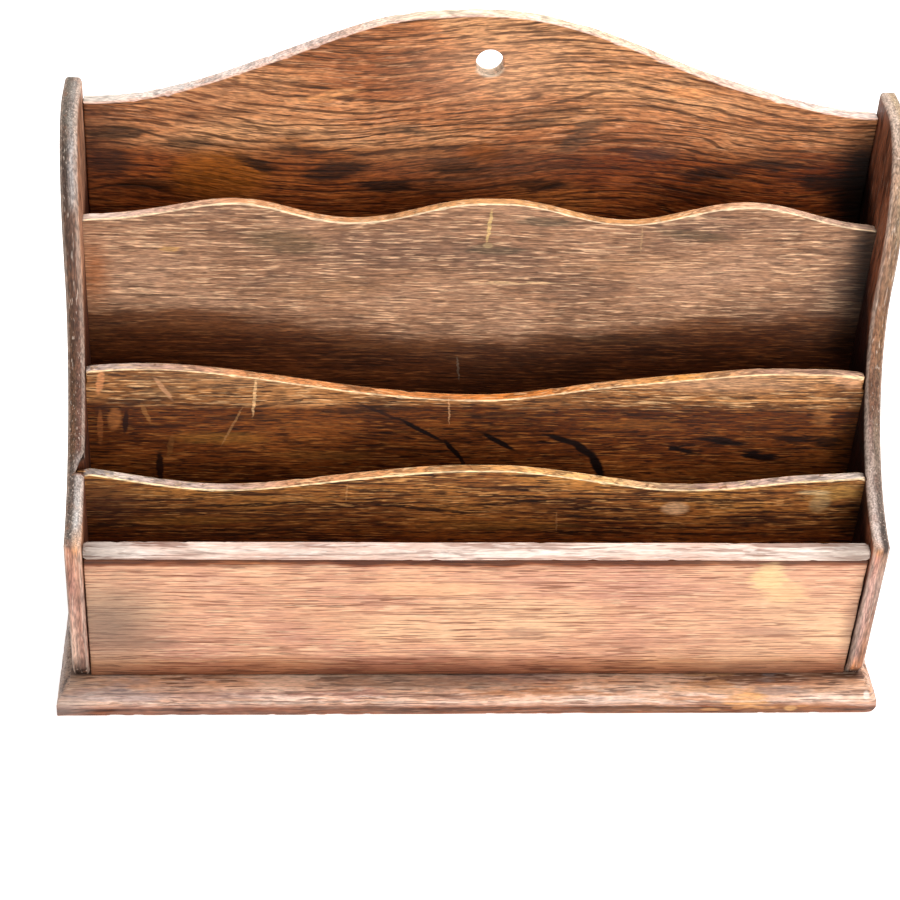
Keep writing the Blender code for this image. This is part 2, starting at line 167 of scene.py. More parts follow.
def trace(outline, ease):
    """How each point of a closed outline moves when the outline is inset.

    A path is (start, knee, knee_inset, move): the point goes from start to knee over the first
    knee_inset, and then by move for each unit. Points beside a sharp corner meet on its mitre
    line, and ease rounds the corner itself. Straight stretches get points of their own.
    """
    outline = [Vector(point) for point in counter_clockwise(outline)]
    count = len(outline)

    def turn_at(points, here):
        before = points[here] - points[here - 1]
        after = points[(here + 1) % len(points)] - points[here]
        return math.degrees(before.angle(after))

    points = []
    for here in range(count):
        start, end = outline[here], outline[(here + 1) % count]
        length = (end - start).length
        pieces = max(1, math.ceil(length / EDGE_STEP))
        stops = {length * piece / pieces for piece in range(pieces)}
        for part in (1, 2, 3):
            near = ease * part / 3
            if near < length / 2 and turn_at(outline, here) > SHARP_TURN:
                stops.add(near)
            if near < length / 2 and turn_at(outline, (here + 1) % count) > SHARP_TURN:
                stops.add(length - near)
        for stop in sorted(stops):
            point = start.lerp(end, stop / length)
            if not points or (point - points[-1]).length > CLOSEST:
                points.append(point)
    count = len(points)
    moves, corners, travelled = [], [], [0.0]
    for here, point in enumerate(points):
        before = (point - points[here - 1]).normalized()
        after = (points[(here + 1) % count] - point).normalized()
        first, second = Vector((-before.y, before.x)), Vector((-after.y, after.x))
        moves.append((first + second) / (1.0 + first.dot(second)))
        travelled.append(travelled[-1] + (points[(here + 1) % count] - point).length)
        if turn_at(points, here) > SHARP_TURN:
            corners.append(here)
    around = travelled[-1]
    paths = []
    for here, point in enumerate(points):
        apart = [(min(abs(travelled[here] - travelled[c]),
                      around - abs(travelled[here] - travelled[c])), c) for c in corners]
        near, corner = min(apart)
        half = math.radians(180 - turn_at(points, corner)) / 2
        slip = 0.5 * ease * math.cos(half) * max(0.0, 1.0 - near / ease) ** 2
        mitre = moves[corner]
        start = point + mitre.normalized() * slip
        knee_inset = max(near * math.tan(half), slip / mitre.length)
        if knee_inset > KNEE_LIMIT:
            paths.append((point, point, 0.0, moves[here]))
        else:
            paths.append((start, points[corner] + mitre * knee_inset, knee_inset, mitre))
    return paths


def inset_point(path, inset):
    """Where a path has come to once the outline is inset by this much."""
    start, knee, knee_inset, move = path
    if inset < knee_inset:
        return start.lerp(knee, inset / knee_inset)
    return knee + move * (inset - knee_inset)


def skin_rings(name, rings):
    """Closed piece over rings of (point, edge, arris), with a face over its two end rings.

    Edge is 1 on a board's narrow edge and 0 on its broad face. Arris is 1 where they meet.
    """
    shape = bmesh.new()
    edge_layer = shape.verts.layers.float.new("edge")
    arris_layer = shape.verts.layers.float.new("arris")
    loops = []
    for ring in rings:
        loop = []
        for point, edge, arris in ring:
            vertex = shape.verts.new(point)
            vertex[edge_layer] = edge
            vertex[arris_layer] = arris
            loop.append(vertex)
        loops.append(loop)
    count = len(loops[0])
    for near, far in zip(loops, loops[1:]):
        for here in range(count):
            there = (here + 1) % count
            shape.faces.new((near[here], near[there], far[there], far[here]))
    shape.faces.new(loops[0])
    shape.faces.new(loops[-1])
    bmesh.ops.remove_doubles(shape, verts=shape.verts, dist=MERGE)
    bmesh.ops.recalc_face_normals(shape, faces=shape.faces)
    mesh = bpy.data.meshes.new(name)
    shape.to_mesh(mesh)
    shape.free()
    piece = add_object(name, mesh)
    soften(piece)
    return piece


def add_object(name, data):
    """New object in the scene, for a mesh, a light or a camera."""
    item = bpy.data.objects.new(name, data)
    bpy.context.scene.collection.objects.link(item)
    return item


def soften(piece):
    """Shade a piece smooth, but for its sharp turns."""
    piece.data.shade_smooth()
    piece.data.set_sharp_from_angle(angle=SHARP_ANGLE)


def slab(name, outline, faces, radii, place, in_reach, ease=0.8 * MM, crown=0.0):
    """Board cut to a closed outline, with rounded and worn arrises on both of its faces.

    Faces are the two depths, and radii gives each face's arris radius at a point of the
    outline. Place turns (u, v, depth) into a point of the rack, and in_reach says whether
    hands can wear the edge there.
    """
    paths = trace(outline, ease)
    reach = [1.0 if in_reach(*path[0]) else 0.0 for path in paths]
    rings = []

    def add_ring(side, angle, margin, edge, arris):
        into = 1 if side == 0 else -1
        ring = []
        for path, share in zip(paths, reach):
            radius = radii[side](*path[0])
            u, v = inset_point(path, radius * (1 - math.sin(angle)) + margin)
            depth = faces[side] + into * radius * (1 - math.cos(angle))
            ring.append((place(u, v, depth), edge * share, arris * share))
        rings.append(ring)

    def add_arc(side, steps):
        for step in steps:
            angle = math.radians(90) * step / ARC_STEPS
            add_ring(side, angle, crown, step / ARC_STEPS, 0.3 + 0.7 * math.sin(2 * angle))

    add_ring(0, 0.0, FACE_MARGIN, 0.0, 0.0)
    add_arc(0, range(ARC_STEPS + 1))
    middle = sum(faces) / 2
    rings.append([(place(*path[0], middle), share, 0.0) for path, share in zip(paths, reach)])
    add_arc(1, range(ARC_STEPS, -1, -1))
    add_ring(1, 0.0, FACE_MARGIN, 0.0, 0.0)
    return skin_rings(name, rings)


def cut_with(piece, cutter):
    """Cut another piece's shape out of this one, and remove the cutter."""
    boolean = piece.modifiers.new("cut", "BOOLEAN")
    boolean.operation = "DIFFERENCE"
    boolean.solver = "EXACT"
    boolean.object = cutter
    depsgraph = bpy.context.evaluated_depsgraph_get()
    mesh = bpy.data.meshes.new_from_object(piece.evaluated_get(depsgraph))
    piece.modifiers.clear()
    piece.data = mesh
    bpy.data.objects.remove(cutter)
    soften(piece)


def prism(name, outline, front, rear):
    """Plain solid with a closed outline in X and Z, used as a cutter."""
    rings = [[(Vector((x, y, z)), 0.0, 0.0) for x, z in outline] for y in (front, rear)]
    return skin_rings(name, rings)


def upright(u, v, depth):
    """Point of a board that stands across the rack."""
    return Vector((u, depth, v))


def waved_board(name, node, radius, seed, joint=0.0, right_wear=1.0):
    """A board with a shaped top, in its node's place. Joint closes the gap at its two ends."""
    low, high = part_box(node)
    left, right = low.x - joint, high.x + joint
    reach = right
    shoulder = []
    # Where the ends are tongues, a small fillet leads down to them
    if node in TONGUE_TOPS:
        reach = HALF_WIDTH - 0.1 * MM
        shoulder = [(right, TONGUE_TOPS[node])]
        for step in range(FILLET_STEPS + 1):
            angle = math.radians(270 - 90 * step / FILLET_STEPS)
            shoulder.append((reach + TONGUE_FILLET * (1 + math.cos(angle)),
                             TONGUE_TOPS[node] + TONGUE_FILLET * (1 + math.sin(angle))))
    outline = [(left, low.z), (right, low.z)] + shoulder
    steps = round(2 * reach / WAVE_STEP)
    for step in range(steps + 1):
        x = reach - 2 * reach * step / steps
        # Handling has worn the top down a little, and its ends beside the sides most
        near_end = min(max(0.0, 1.0 - (HALF_WIDTH - abs(x)) / END_LENGTH), 1.0)
        rubbed = TOP_WEAR * (1 + waver(x / (22 * MM), seed)) + END_WEAR[node] * near_end ** 2
        outline.append((x, sawn_top(x, node) - rubbed))
    outline += [(-x, z) for x, z in reversed(shoulder)]

    # Hands have rounded the front arris most at its right end
    def front_radius(u, v):
        at_right = max(0.0, 1.0 - (HALF_WIDTH - u) / (14 * MM))
        return min(worn(u + v, radius, seed) * (1 + (right_wear - 1) * at_right), MOST_WORN)

    def rear_radius(u, v):
        return min(worn(u + v, radius, seed + 5), MOST_WORN)

    def in_reach(u, v):
        return abs(u) < HALF_WIDTH - 0.2 * MM and v > WAVES[node][1] - 4 * MM

    return slab(name, outline, (low.y, high.y), (front_radius, rear_radius), upright, in_reach,
                crown=0.1 * MM)


def bezier(start, handle_a, handle_b, end):
    """Points along a curve, without its start."""
    points = []
    for step in range(1, CURVE_STEPS + 1):
        t = step / CURVE_STEPS
        weights = ((1 - t) ** 3, 3 * t * (1 - t) ** 2, 3 * t * t * (1 - t), t ** 3)
        knots = (start, handle_a, handle_b, end)
        points.append(tuple(sum(w * k[axis] for w, k in zip(weights, knots))
                            for axis in (0, 1)))
    return points


def side_board(name, node, seed):
    """A side, with its shaped front edge. Its outline is in depth from the rear, and height."""
    low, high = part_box(node)
    depth = high.y - low.y
    rise = SIDE_TOP - SIDE_CORNER

    def spot(shares):
        return (shares[0] * depth, SIDE_CORNER + shares[1] * rise)

    outline = [(0.0, high.z), (0.0, low.z), (depth - FOOT_HOLLOW[0], low.z),
               (depth, low.z + FOOT_HOLLOW[1]), spot(CORNER[0])]
    outline += bezier(*map(spot, (CORNER[0], CORNER[1], WAIST[2], WAIST[0])))
    outline += bezier(*map(spot, (WAIST[0], WAIST[1], BROW[2], BROW[0])))

    # The arris towards the pockets is worn rounder than the outer one
    def inner(u, v):
        return min(worn(u + v, INNER_SIDE_ARRIS[0], seed, 0.3), INNER_SIDE_ARRIS[1])

    def outer(u, v):
        return min(worn(u + v, OUTER_SIDE_ARRIS[0], seed + 9, 0.4), OUTER_SIDE_ARRIS[1])

    def place(u, v, x):
        return Vector((x, high.y - u, v))

    def in_reach(u, v):
        return v > low.z + 0.2 * MM

    radii = (inner, outer) if low.x > 0 else (outer, inner)
    return slab(name, outline, (low.x, high.x), radii, place, in_reach, crown=0.15 * MM)


def cut_housings(side, direction):
    """Grooves in a side's inner face for the three dividers' ends."""
    for node in ("rear_divider", "middle_divider", "front_divider"):
        low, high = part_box(node)
        end_top = sawn_top(direction * HALF_WIDTH, node) - END_WEAR[node]
        top = TONGUE_TOPS.get(node, end_top) + JOINT_GAP
        foot = low.z - CUT_OVERRUN
        near, deep = HALF_WIDTH - CUT_OVERRUN, HALF_WIDTH + HOUSING_DEPTH
        outline = [(near, foot), (deep, foot), (deep, top), (near, top)]
        # The left housing of the front divider has broken out at a slant
        if node == "front_divider" and direction < 0:
            slant = (HOUSING_BREAKOUT - MM) / HOUSING_DEPTH
            outline[2:] = [(deep, top + MM), (near, top + MM + slant * (deep - near))]
        outline = [(direction * x, z) for x, z in outline]
        cut_with(side, prism("housing", outline, low.y - JOINT_GAP, high.y + JOINT_GAP))


def cut_hang_hole(back):
    """Round hole near the crest, with both of its rims worn."""
    low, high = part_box("back_panel")
    height = WAVES["back_panel"][0] - HANG_HOLE_BELOW_CREST
    # Depth, and widening all round
    sections = ((low.y - MM, HOLE_RIM), (low.y, HOLE_RIM), (low.y + 0.3 * MM, 0.1 * MM),
                (low.y + 0.8 * MM, 0.0), (high.y - HOLE_RIM, 0.0), (high.y, HOLE_RIM),
                (high.y + MM, HOLE_RIM))
    rings = []
    for y, wider in sections:
        ring = []
        for step in range(HOLE_STEPS):
            angle = 2 * math.pi * step / HOLE_STEPS
            radius = HANG_HOLE_RADIUS + wider * (1 + 0.3 * waver(math.sin(angle) * 2, 3))
            across, rise = radius * math.cos(angle), radius * math.sin(angle)
            ring.append((Vector((across, y, height + rise)), 0.0, 0.0))
        rings.append(ring)
    cut_with(back, skin_rings("hang_hole", rings))


def front_panel_board():
    """Low straight board. Its edges are under the rail or against other boards."""
    low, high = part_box("front_panel")
    outline = [(low.x, low.z), (high.x, low.z), (high.x, high.z), (low.x, high.z)]

    def radius(u, v):
        return min(worn(u + v, 0.5 * MM, 31), 1.2 * MM)

    return slab("front_panel_board", outline, (low.y, high.y), (radius, radius), upright,
                lambda u, v: False)


def rail_strip():
    """Capping rail with a rounded nose, made of sections along its length."""
    low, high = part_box("front_rail")
    length = high.x - low.x
    steps = round(length / WAVE_STEP)
    rings = []
    for step in range(steps + 1):
        x = low.x + length * step / steps
        end = min(x - low.x, high.x - x)
        shrink = 0.5 * MM * max(0.0, 1.0 - end / MM) ** 2
        upper = worn(x, 1.7 * MM, 41, 0.5)
        lower = worn(x, 0.9 * MM, 43, 0.8)
        rear = worn(x, 0.6 * MM, 47)
        top = high.z - shrink - TOP_WEAR * (1 + waver(x / (30 * MM), 49))
        front = low.y + shrink
        foot = low.z + shrink
        back = high.y - shrink
        corners = (((front + lower, foot + lower), lower, 270),
                   ((front + upper, top - upper), upper, 180),
                   ((back - rear, top - rear), rear, 90))
        ring = [(Vector((x, back, foot)), 0.0, 0.0)]
        for (y, z), radius, start in corners:
            for part in range(ARC_STEPS + 1):
                angle = math.radians(start - 90 * part / ARC_STEPS)
                point = Vector((x, y + radius * math.cos(angle), z + radius * math.sin(angle)))
                ring.append((point, 1.0, 0.3 + 0.7 * math.sin(math.pi * part / ARC_STEPS)))
        rings.append(ring)
    return skin_rings("front_rail_strip", rings)


def base_slab():
    """Base with a moulded edge: a small quirk, a round above an arris, and a plain face."""
    low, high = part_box("base_board")
    thick = (high.z - low.z) / MM
    # In mm, inset from the front and both ends, inset from the rear and height. Then edge,
    # arris and dents.
    profile = [(1.6, 1.6, 0.0, 0.0, 0.0, 0.0), (0.7, 0.7, 0.0, 0.5, 0.5, 0.3),
               (0.2, 0.2, 0.2, 1.0, 1.0, 1.0), (0.0, 0.0, 0.7, 1.0, 0.4, 0.6),
               (0.0, 0.0, 3.0, 1.0, 0.0, 0.0), (0.0, 0.0, 5.6, 1.0, 0.1, 0.2),
               (0.05, 0.0, 6.2, 1.0, 0.6, 1.0), (0.25, 0.0, 6.6, 0.9, 1.0, 1.3)]
    start, end = (0.55, 7.0), (4.3, thick - 0.35)
    for step in range(MOULDING_STEPS + 1):
        share = step / MOULDING_STEPS
        bulge = 0.75 * math.sin(math.pi * share)
        inset = start[0] + (end[0] - start[0]) * share - 0.7 * bulge
        height = start[1] + (end[1] - start[1]) * share + 0.7 * bulge
        profile.append((inset, 0.0, height, 0.6, 0.6 if step == 0 else 0.0, 0.4))
    profile += [(4.5, 0.1, thick - 0.3, 0.3, 0.3, 0.3), (4.7, 0.3, thick - 0.05, 0.2, 0.6, 0.3),
                (5.2, 0.7, thick, 0.1, 0.2, 0.0), (6.4, 1.6, thick, 0.0, 0.0, 0.0)]
    rings = []
    for *lengths, edge, arris, dents in profile:
        inset, rear, height = (length * MM for length in lengths)
        corners = [Vector((low.x + inset, low.y + inset)), Vector((high.x - inset, low.y + inset)),
                   Vector((high.x - inset, high.y - rear)), Vector((low.x + inset, high.y - rear))]
        inwards = (Vector((0, 1)), Vector((-1, 0)), Vector((0, -1)), Vector((1, 0)))
        ring = []
        for side, count in enumerate(BASE_STEPS):
            first, second = corners[side], corners[(side + 1) % 4]
            for step in range(count):
                point = first.lerp(second, step / count)
                along = (point.x + point.y) / (4 * MM)
                dent = max(0.0, waver(along, 61) - 0.2) * 1.6 * MM
                dent += 0.2 * MM * (1 + waver(along / 9, 67))
                # The front right corner is knocked round
                knock = max(0.0, 1.0 - (point - corners[1]).length / (5 * MM)) ** 2
                fade = min(1.0, min((point - c).length for c in corners) / (3 * MM))
                point = point + inwards[side] * dent * dents * fade
                point = point + Vector((-1, 1)) * knock * 1.1 * MM * min(1.0, 0.4 + dents)
                ring.append((Vector((point.x, point.y, low.z + height)), edge, arris))
        rings.append(ring)
    return skin_rings("base_moulded_board", rings)


# Finishes

def linear(hex_colour):
    """Linear colour of an sRGB hex value."""
    colour = []
    for start in (0, 2, 4):
        value = int(hex_colour[start:start + 2], 16) / 255
        colour.append(value / 12.92 if value <= 0.04045 else ((value + 0.055) / 1.055) ** 2.4)
    return (*colour, 1.0)


def start_finish(name):
    """New material, with its nodes and its shader."""
    material = bpy.data.materials.new(name)
    material.use_nodes = True
    return material, material.node_tree, material.node_tree.nodes["Principled BSDF"]


def join_up(tree, node, sockets):
    """Link each socket that is given another node's output, and set the others' values."""
    for key, value in sockets.items():
        if isinstance(value, bpy.types.NodeSocket):
            tree.links.new(value, node.inputs[key])
        else:
            node.inputs[key].default_value = value


def add_node(tree, kind, sockets=None, stops=(), **settings):
    """Add a node with its settings, its sockets and its ramp's stops, and give its outputs."""
    node = tree.nodes.new("ShaderNode" + kind)
    for name, value in settings.items():
        setattr(node, name, value)
    join_up(tree, node, sockets or {})
    for number, (position, hex_colour) in enumerate(stops):
        elements = node.color_ramp.elements
        stop = elements[number] if number < 2 else elements.new(position)
        stop.position = position
        stop.color = linear(hex_colour)
    return node.outputs


def grain_mask(tree, place, size_mm, faint, full, shift=0.0, detail=2.0):
    """Mask of marks that lie in the grain: their size is along it, through the board, across."""
    spread = add_node(tree, "Mapping", {"Vector": place, "Location": (shift, shift, shift),
                                        "Scale": tuple(1000.0 / size for size in size_mm)})
    cloud = add_node(tree, "TexNoise", {"Vector": spread[0], "Scale": 1.0, "Detail": detail,
                                        "Roughness": 0.55})["Fac"]
    return add_node(tree, "MapRange", {"Value": cloud, "From Min": faint, "From Max": full},
                    interpolation_type="SMOOTHSTEP")[0]


def rub_over(tree, under, over, share, strength=1.0):
    """Rub one colour over another, where share says and as strongly as strength says."""
    weight = add_node(tree, "Math", {0: share, 1: strength}, operation="MULTIPLY")[0]
    return add_node(tree, "Mix", {0: weight, 6: under, 7: over}, data_type="RGBA")[2]


def stretch_of(tree, value, start, end, stops):
    """Colour along a stretch of the board, from stops of (millimetres, sRGB hex)."""
    reach = end - start
    share = add_node(tree, "MapRange", {"Value": value, "From Min": start * MM,
                                        "From Max": end * MM})[0]
    shares = [((place - start) / reach, tone) for place, tone in stops]
    return add_node(tree, "ValToRGB", {"Fac": share}, shares)["Color"]


def stained_oak(name, tones, seed, streaks, wander_mm, grit, depths, along="X", arc=None,
                growth=None, pores=0.8, pore_mm=(8, 0.9, 0.65), flecks=(0.25, 0.60, 0.70),
                fleck_tone="d9b9a0", edge=(), outer_edge=(), edge_share=0.85, arris="f0cfae",
                arris_share=1.0, nicked=0.3, worn_least=0.6, pocket_side=None, behind=None,
                lean=0.0, wobble_mm=8.0, shades=(), stains_and_shade=(), scratches=()):
    """Fumed and waxed oak: an open ring-porous grain, so dark streaks and short dark pores run
    along it, over patchy stain that has rubbed off the arrises. The narrow edges also carry a
    painted sheen, and their arrises a painted glint.

    Tones are the stain's dark, middle and light, and the streaks' dark. Sizes are in mm: along
    the grain, through the board and across it. Streaks have their size, the noise where they
    start and where they are full, and a strength, and flecks have a strength, start and full.
    Depths tint the board by height: stain that letters kept hands and sun off, and on some
    boards painted shade low in the pocket, where the board in front keeps the light off. Behind
    names the board whose top they follow. A lean lowers them towards the front. Shades, stains
    and scratches have a place (x, z), half sizes, a tilt, a colour and a strength; some shades
    and stains are painted shade at a board's end, beside a side.
    """
    material, tree, shader = start_finish(name)
    add, mask, rub = (partial(work, tree) for work in (add_node, grain_mask, rub_over))
    place = add("TexCoord")["Object"]
    axes = add("SeparateXYZ", {0: place})
    turn = (0.0, math.radians(90), 0.0) if along == "Z" else (0.0, 0.0, 0.0)
    turned = add("Mapping", {"Vector": place, "Rotation": turn,
                             "Location": (seed, seed * 0.7, seed * 0.3)})[0]

    # The grain wanders by a few millimetres over a hand's breadth
    slow = add("Mapping", {"Vector": turned, "Scale": (11, 25, 25)})[0]
    drift = add("TexNoise", {"Vector": slow, "Scale": 1.0, "Detail": 3.0})["Color"]
    swing = wander_mm * MM
    grained = add("VectorMath", {0: drift, 1: (0.0, swing, 2 * swing), 2: turned},
                  operation="MULTIPLY_ADD")[0]
    if arc:
        rise, length, start = arc
        phase = add("Math", {0: axes["X"], 1: 2000 * math.pi / length,
                             2: -2 * math.pi * start / length}, operation="MULTIPLY_ADD")[0]
        bend = add("Math", {0: phase}, operation="SINE")[0]
        lifted = add("CombineXYZ", {"Z": bend})[0]
        grained = add("VectorMath", {0: lifted, 1: (0.0, 0.0, -rise * MM), 2: grained},
                      operation="MULTIPLY_ADD")[0]

    patches = mask(turned, (70, 40, 28), 0.0, 1.0, detail=4.0)
    stain = zip((0.3, 0.5, 0.7), tones)
    colour = add("ValToRGB", {"Fac": patches}, stain)["Color"]
    streak_mm, faint, full, strength = streaks
    early = mask(grained, streak_mm, 0.47, 0.34, 0.0, 3.0)
    colour = rub(colour, linear(tones[2]), early, 0.45)
    late = mask(grained, streak_mm, faint, full, 0.0, 3.0)
    colour = rub(colour, linear(tones[3]), late, strength)

    sunk = add("Math", {0: late, 1: -0.3}, operation="MULTIPLY")[0]
    if growth:
        # Growth rings: dark lines that wander and fade, as the contours of a slow field
        share, ring_mm, ring_swing = growth
        across = add("SeparateXYZ", {0: grained})["Z"]
        heave = mask(turned, (80, 60, 22), 0.2, 0.8, 7.7)
        heaved = add("Math", {0: heave, 1: ring_swing}, operation="MULTIPLY")[0]
        field = add("Math", {0: across, 1: 1000.0 / ring_mm, 2: heaved},
                    operation="MULTIPLY_ADD")[0]
        wave = add("Math", {0: field, 1: 0.5}, operation="PINGPONG")[0]
        line = add("MapRange", {"Value": wave, "From Min": 0.31, "From Max": 0.43},
                   interpolation_type="SMOOTHSTEP")[0]
        fades = mask(grained, (36, 8, 3), 0.38, 0.52, 4.4, 3.0)
        ring = add("Math", {0: line, 1: fades}, operation="MULTIPLY")[0]
        colour = rub(colour, linear(tones[3]), ring, share)
        sunk = add("Math", {0: ring, 1: -1.2 * share, 2: sunk}, operation="MULTIPLY_ADD")[0]

    # Pores are about 0.3 mm wide in the wood, and drawn twice as coarse so that they show
    pore = mask(grained, pore_mm, 0.57, 0.63, 0.0, 1.0)
    colour = rub(colour, linear(tones[3]), pore, pores)
    rubbed = mask(grained, (11, 1.0, 0.65), flecks[1], flecks[2], 5.3)
    colour = rub(colour, linear(fleck_tone), rubbed, flecks[0])
    fine = mask(grained, (4, 0.7, 0.6), 0.33, 0.67, 9.1)

    wobble = mask(turned, (26, 9, 6), 0.2, 0.8, 2.2, 3.0)
    height = add("Math", {0: wobble, 1: wobble_mm * MM, 2: axes["Z"]}, operation="MULTIPLY_ADD")[0]
    # The painted shade's upper line follows the wave of the top of the board in front
    if behind:
        crest, trough, share, start = WAVES[behind]
        turns = add("Math", {0: axes["X"], 1: math.pi / (share * HALF_WIDTH)},
                    operation="MULTIPLY")[0]
        wave_there = add("Math", {0: turns}, operation="COSINE")[0]
        height = add("Math", {0: wave_there, 1: -start * (crest - trough) / 2, 2: height},
                     operation="MULTIPLY_ADD")[0]
    if lean:
        height = add("Math", {0: axes["Y"], 1: -lean, 2: height}, operation="MULTIPLY_ADD")[0]
    plain = colour
    lift = wobble_mm / 2
    tint = stretch_of(tree, height, lift, TINT_UP[1] + lift, depths)
    colour = add("Mix", {0: 1.0, 6: colour, 7: tint}, data_type="RGBA", blend_type="MULTIPLY")[2]

    # Stains creep along the grain, so their outlines are ragged that way. Scratches cross it.
    creep = add("Mapping", {"Vector": grained, "Scale": (120, 300, 800)})[0]
    ragged = add("TexNoise", {"Vector": creep, "Scale": 1.0, "Detail": 3.0})
    for kind, softness, (spread_x, spread_z) in ((shades, 1.0, (6, 3)), (stains_and_shade, 0.55, (14, 4)),
                                                 (scratches, 0.45, (1.6, 0.8))):
        if not kind:
            continue
        rough_place = add("VectorMath", {0: ragged["Color"],
                                         1: (spread_x * MM, 0.0, spread_z * MM), 2: place},
                          operation="MULTIPLY_ADD")[0]
        for x, z, half_x, half_z, tilt, tone, strength in kind:
            spot = add("Mapping", {"Vector": rough_place,
                                   "Rotation": (0.0, math.radians(tilt), 0.0),
                                   "Location": ((x + spread_x / 2) * MM, 0.0,
                                                (z + spread_z / 2) * MM),
                                   "Scale": (half_x * MM, 1.0, half_z * MM)},
                       vector_type="TEXTURE")[0]
            ball = add("TexGradient", {"Vector": spot}, gradient_type="SPHERICAL")
            inside = add("MapRange", {"Value": ball["Fac"], "From Max": softness},
                         interpolation_type="SMOOTHSTEP")[0]
            colour = rub(colour, linear(tone), inside, strength)
    if pocket_side:
        # The other face has none of those marks, and its wood is duller for want of wax
        axis, limit = pocket_side
        out = add("Math", {0: axes[axis]}, operation="ABSOLUTE")[0]
        turned_out = add("Math", {0: out, 1: limit * MM}, operation="GREATER_THAN")[0]
        dull = add("VectorMath", {0: plain, 1: (0.62, 0.60, 0.58)}, operation="MULTIPLY")[0]
        colour = add("Mix", {0: turned_out, 6: colour, 7: dull}, data_type="RGBA")[2]

    # Narrow edges have lost their stain to hands, more in some stretches than in others. Their
    # pale colour is also painted sheen where they face the light, and the sides' edges carry
    # painted shade on their outer half and at the foot
    upwards = along == "Z"
    position, (start, end) = axes["Z" if upwards else "X"], TINT_UP if upwards else TINT_ACROSS
    edge_wear_sheen_and_shade = stretch_of(tree, position, start, end, edge)
    if outer_edge:
        # The two halves of a side's edge meet over 1.6 mm in its middle: painted sheen on the
        # inner half, which faces the light, and painted shade on the outer half
        outwards = add("Math", {0: axes["X"]}, operation="ABSOLUTE")[0]
        outer = add("MapRange", {"Value": outwards, "From Min": 152.4 * MM,
                                 "From Max": 154.0 * MM})[0]
        edge_wear_sheen_and_shade = rub(edge_wear_sheen_and_shade, stretch_of(tree, position, start, end, outer_edge), outer)
    edge_wear_sheen_and_shade = rub(edge_wear_sheen_and_shade, linear(tones[3]), late, 0.2 + 0.4 * nicked)
    nicks = mask(turned, (3.5, 3, 3.5), 0.62, 0.68, 6.1, 3.0)
    edge_wear_sheen_and_shade = rub(edge_wear_sheen_and_shade, linear(tones[0]), nicks, nicked)
    edge_wear_sheen_and_shade = rub(edge_wear_sheen_and_shade, linear(arris), rubbed, 0.5)
    edge_place = add("Attribute", attribute_name="edge")["Fac"]
    arris_place = add("Attribute", attribute_name="arris")["Fac"]
    worn_place = mask(turned, (16, 4, 4), 0.25, 0.55, 3.1, 3.0)
    worn_edge = add("MapRange", {"Value": worn_place, "To Min": worn_least})[0]
    shown = add("Math", {0: edge_place, 1: worn_edge}, operation="MULTIPLY")[0]
    colour = rub(colour, edge_wear_sheen_and_shade, shown, edge_share)
    # A painted glint along the arris, over the paler worn wood there
    sharp = add("MapRange", {"Value": arris_place, "From Min": 0.4, "From Max": 0.95},
                interpolation_type="SMOOTHSTEP")[0]
    glint = add("Math", {0: sharp, 1: worn_edge}, operation="MULTIPLY")[0]
    colour = rub(colour, linear(arris), glint, arris_share)

    shade = add("MapRange", {"Value": fine, "To Min": grit[0], "To Max": grit[1]})
    colour = add("VectorMath", {0: colour, 3: shade[0]}, operation="SCALE")[0]
    pitted = add("Math", {0: pore, 1: -0.7, 2: sunk}, operation="MULTIPLY_ADD")[0]
    relief = add("Math", {0: fine, 1: 0.35, 2: pitted}, operation="MULTIPLY_ADD")[0]
    bump = add("Bump", {"Strength": 0.5, "Distance": 0.3 * MM, "Height": relief})
    gloss = add("MapRange", {"Value": fine, "To Min": 0.5, "To Max": 0.75})[0]
    join_up(tree, shader, {"Base Color": colour, "Normal": bump[0], "Roughness": gloss, "IOR": 1.5,
                           "Specular IOR Level": 0.22, "Coat Weight": 0.03, "Coat Roughness": 0.4})
    return material


def dull_steel():
    """Old iron screws and pins: dark steel with brown rust, matt where it has rusted."""
    material, tree, shader = start_finish("dull_steel")
    add = partial(add_node, tree)
    place = add("TexCoord")["Object"]
    # Specks of rust are about a millimetre across
    rust = add("TexNoise", {"Vector": place, "Scale": 900.0, "Detail": 4.0})["Fac"]
    tones = ((0.4, "6d6862"), (0.56, "4a3a2f"), (0.7, "6a3f25"))
    colour = add("ValToRGB", {"Fac": rust}, tones)["Color"]
    rough = add("MapRange", {"Value": rust, "From Min": 0.4, "From Max": 0.65, "To Min": 0.35,
                             "To Max": 0.8})[0]
    bump = add("Bump", {"Strength": 0.4, "Distance": 0.05 * MM, "Height": rust})
    join_up(tree, shader, {"Base Color": colour, "Roughness": rough, "Normal": bump[0],
                           "Metallic": 1.0})
    return material


def dress(piece, node, material):
    """Give a finished piece its wood, and put it on the rack in place of its node."""
    piece.data.materials.clear()
    piece.data.materials.append(material)
    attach(piece, "root")
    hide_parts(node)
